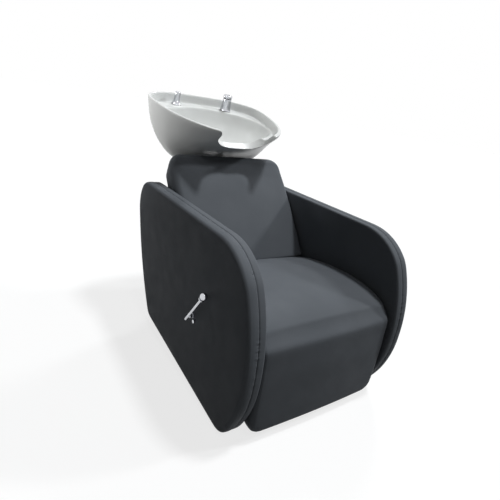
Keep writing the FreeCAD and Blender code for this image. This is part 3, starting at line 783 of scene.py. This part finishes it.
bell_profile = [
    (0.2, 9.5), (0.2, 22.8), (2.5, 22.8), (4, 21.3), (7, 18.9), (11, 17.2), (14.6, 16.4), (15.2, 15.6),
    (15.2, 9.5),
]
bell = turned(bell_profile, tap_foot(-1), tap_axis, 48, True)
piece("shower_bell", bell, "bowl_unit", "chrome", "shower_holder")
handset_profile = [
    (-20, 0), (-20, 9), (15.5, 9), (15.5, 14.6), (30, 13.8), (53, 13), (56, 11.4), (57, 8), (57, 0),
]
handset_skin = turned(rounded(handset_profile), tap_foot(-1), tap_axis)
piece("handset", handset_skin, "shower", "chrome", "hand_shower")


# Camera, light and floor.
camera_data = bpy.data.cameras.new("camera")
camera_data.lens = CAMERA_LENS
camera_data.sensor_width = CAMERA_SENSOR
camera = bpy.data.objects.new("camera", camera_data)
bpy.context.scene.collection.objects.link(camera)
bpy.context.scene.camera = camera
azimuth, pitch, roll = (math.radians(v) for v in (CAMERA_AZIMUTH, CAMERA_PITCH, CAMERA_ROLL))
level = Vector((math.cos(azimuth), math.sin(azimuth), 0))
across, along = math.sin(azimuth) * math.cos(pitch), -math.cos(azimuth) * math.cos(pitch)
behind = Vector((across, along, math.sin(pitch)))
above = behind.cross(level)
right = level * math.cos(roll) + above * math.sin(roll)
up = above * math.cos(roll) - level * math.sin(roll)
facing = Matrix((right, up, behind)).transposed().to_4x4()
camera.matrix_world = Matrix.Translation(CAMERA_PLACE) @ facing


def sun(name, azimuth, elevation, spread, power):
    """Lamp far away, as seen from the chair: azimuth from +Y towards +X, and height above the horizon."""
    data = bpy.data.lights.new(name, "SUN")
    data.angle = math.radians(spread)
    data.energy = power
    data.color = LAMP_TINT
    obj = bpy.data.objects.new(name, data)
    bpy.context.scene.collection.objects.link(obj)
    a, e = math.radians(azimuth), math.radians(elevation)
    towards = Vector((math.sin(a) * math.cos(e), math.cos(a) * math.cos(e), math.sin(e)))
    obj.rotation_euler = towards.to_track_quat("Z", "Y").to_euler()


def spot(name, place, aim, cone, radius, power):
    """Lamp with a narrow cone, in metres and degrees."""
    data = bpy.data.lights.new(name, "SPOT")
    data.energy = power
    data.spot_size = math.radians(cone)
    data.spot_blend = SPOT_BLEND
    data.shadow_soft_size = radius
    obj = bpy.data.objects.new(name, data)
    bpy.context.scene.collection.objects.link(obj)
    obj.location = place
    obj.rotation_euler = (Vector(place) - Vector(aim)).to_track_quat("Z", "Y").to_euler()


sun("ceiling_high", 106, 73, 7, 1.8)
sun("ceiling_front", 186, 58, 9, 0.22)
sun("ceiling_low", 106, 34, 6, 1.0)
sun("ceiling_rear", 52, 43, 8, 0.8)
spot("bowl_side", (-2.4, 1.3, 1.05), (-0.2, 0.6, 0.90), 15, 0.25, 150)
spot("bowl_top", (-1.3, 0.35, 2.3), (0.05, 0.52, 0.86), 17, 0.2, 58)


def shown_to_eye(tree):
    """1 for what the camera sees directly, in a mirror or through glass."""
    path = tree.nodes.new("ShaderNodeLightPath")
    shown = path.outputs["Is Camera Ray"]
    for ray in ("Is Glossy Ray", "Is Transmission Ray"):
        most = tree.nodes.new("ShaderNodeMath")
        most.operation = "MAXIMUM"
        tree.links.new(shown, most.inputs[0])
        tree.links.new(path.outputs[ray], most.inputs[1])
        shown = most.outputs[0]
    return shown


world = bpy.data.worlds.new("studio")
bpy.context.scene.world = world
world.use_nodes = True
tree = world.node_tree
lit = tree.nodes["Background"]
lit.inputs["Color"].default_value = WORLD_TINT
lit.inputs["Strength"].default_value = WORLD_LEVEL
seen = tree.nodes.new("ShaderNodeBackground")
seen.inputs["Color"].default_value = WHITE
seen.inputs["Strength"].default_value = 1.0
mixed = tree.nodes.new("ShaderNodeMixShader")
tree.links.new(shown_to_eye(tree), mixed.inputs[0])
tree.links.new(lit.outputs[0], mixed.inputs[1])
tree.links.new(seen.outputs[0], mixed.inputs[2])
tree.links.new(mixed.outputs[0], tree.nodes["World Output"].inputs["Surface"])

bpy.ops.mesh.primitive_plane_add(size=FLOOR_SIZE)
floor = bpy.context.object
floor.name = "floor"
floor_finish = Finish("floor")
floor_finish.shader.inputs["Specular IOR Level"].default_value = 0.0
floor_finish.rough(floor_finish.noise(3.0), 0.85, 0.95)
floor_ramp = floor_finish.node("ValToRGB", shown_to_eye(floor_finish.tree))
floor_ramp.color_ramp.elements[0].color = FLOOR_TO_OBJECT
floor_ramp.color_ramp.elements[1].color = FLOOR_TO_EYE
floor_finish.tree.links.new(floor_ramp.outputs[0], floor_finish.shader.inputs["Base Color"])
floor_glow = floor_finish.node("MapRange", shown_to_eye(floor_finish.tree), 0, To_Max=FLOOR_GLOW)
floor_finish.tree.links.new(floor_glow.outputs[0], floor_finish.shader.inputs["Emission Strength"])
floor_finish.shader.inputs["Emission Color"].default_value = WHITE
floor.data.materials.append(floor_finish.material)

bpy.context.scene.view_settings.view_transform = "Standard"
